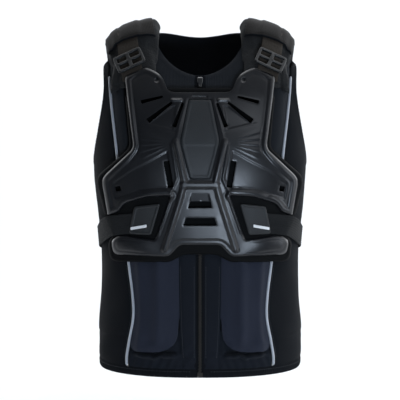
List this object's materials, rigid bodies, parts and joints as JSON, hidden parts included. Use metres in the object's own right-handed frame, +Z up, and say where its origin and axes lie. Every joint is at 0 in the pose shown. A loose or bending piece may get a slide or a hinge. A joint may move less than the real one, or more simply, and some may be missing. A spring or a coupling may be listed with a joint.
{
  "type": "airbag vest",
  "caption": "Sleeveless zip-front airbag vest under a moulded chest guard with foam liner, padded shoulder yokes, buckled straps, side straps and a back plate.",
  "frame": {"origin": "midway between the shoulders, at the height where the vest sits on them", "axes": "+Z up along the wearer's trunk, -Y out of the wearer's chest, +X towards the wearer's left"},
  "size_m": [0.348, 0.2915, 0.5784],
  "materials": {
    "shell_plastic": "satin moulded",
    "insert_plastic": "fine grain",
    "liner_foam": "smooth foam skin",
    "pad_cloth": "knitted mesh",
    "webbing": "woven",
    "buckle_plastic": "satin moulded",
    "patch_rubber": "fine texture",
    "navy_cloth": "stretch weave",
    "black_cloth": "stretch weave",
    "charcoal_cloth": "stretch weave",
    "reflective_piping": "reflective",
    "reflective_stripe": "reflective",
    "zip_nylon": "moulded coil"
  },
  "bodies": {
    "root": {"chest_panel_left": "charcoal_cloth", "chest_panel_right": "charcoal_cloth", "placket_left": "black_cloth", "placket_right": "black_cloth", "airbag_panel_left": "navy_cloth", "airbag_panel_right": "navy_cloth", "side_panel_left": "black_cloth", "side_panel_right": "black_cloth", "back_panel": "black_cloth", "hem_band": "black_cloth", "zip": "zip_nylon", "zip_slider": "zip_nylon", "piping_left": "reflective_piping", "piping_right": "reflective_piping", "chest_shell": "shell_plastic", "centre_insert": "insert_plastic", "chest_liner": "liner_foam", "back_plate": "shell_plastic", "yoke_left": "pad_cloth", "yoke_right": "pad_cloth", "shoulder_strap_left": "webbing", "shoulder_strap_right": "webbing", "buckle_left": "buckle_plastic", "buckle_right": "buckle_plastic", "side_strap_left": "webbing", "side_strap_right": "webbing", "strap_patch_left": "patch_rubber", "strap_patch_right": "patch_rubber", "reflective_tab_left": "reflective_stripe", "reflective_tab_right": "reflective_stripe"}
  },
  "joints": []
}
